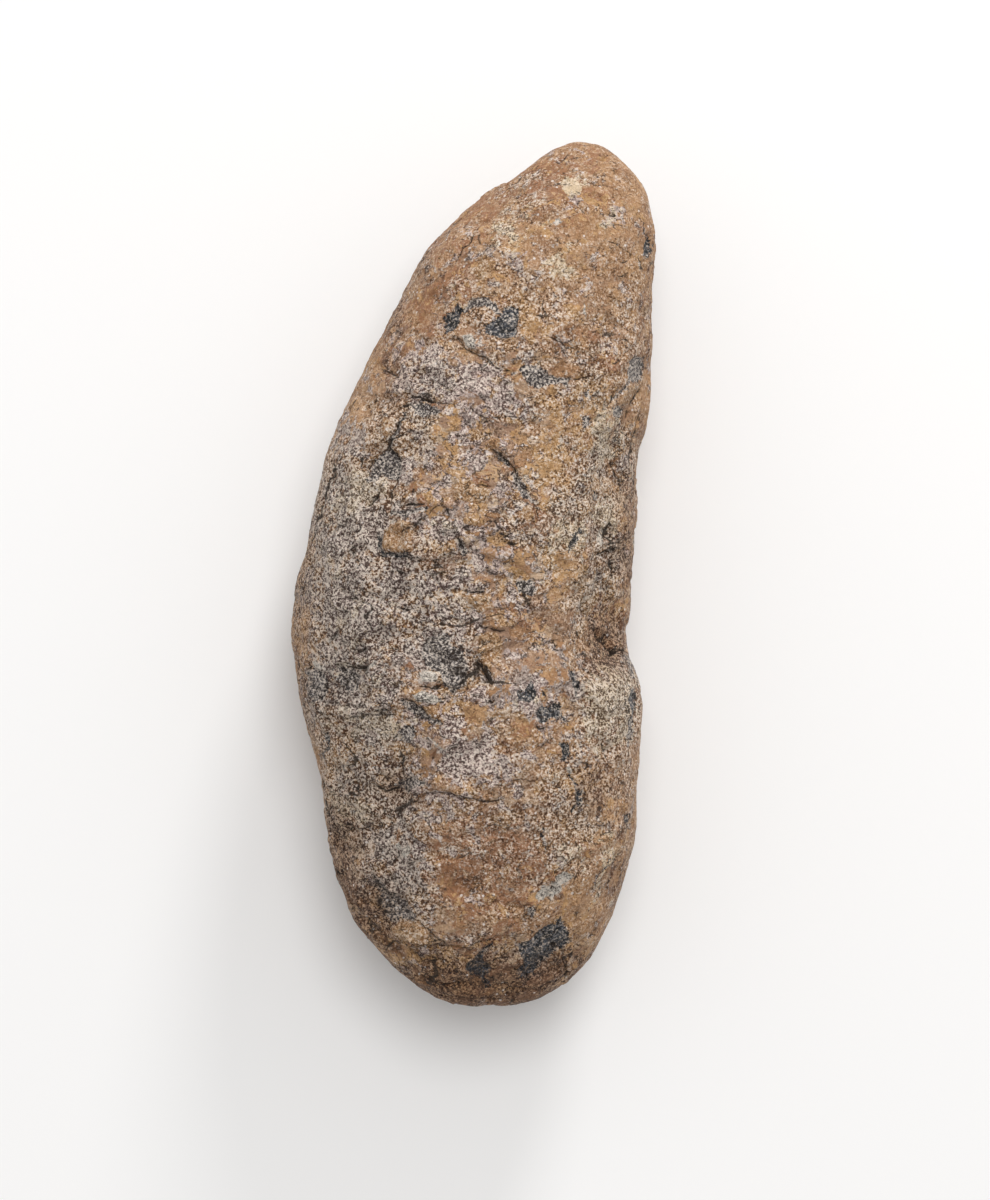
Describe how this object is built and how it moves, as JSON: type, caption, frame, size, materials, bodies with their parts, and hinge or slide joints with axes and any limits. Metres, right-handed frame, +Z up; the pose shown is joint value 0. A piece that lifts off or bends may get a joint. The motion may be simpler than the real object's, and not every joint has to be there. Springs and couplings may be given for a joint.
{
  "type": "coprolite",
  "caption": "Bent loaf of fossil dung in one solid stone piece, blunt at one end and drawn out at the other, resting on a small worn flat.",
  "frame": {"origin": "on the surface that the specimen rests on, under the middle of its plan outline", "axes": "+Z up out of the resting flat, +Y along the loaf towards its drawn-out tip"},
  "size_m": [0.0476, 0.1132, 0.0385],
  "materials": {
    "coprolite": "dry weathered silica and calcium phosphate, matt, sandy to the touch, with glassy dark grey patches"
  },
  "bodies": {
    "root": {"coprolite": "coprolite"}
  },
  "joints": []
}
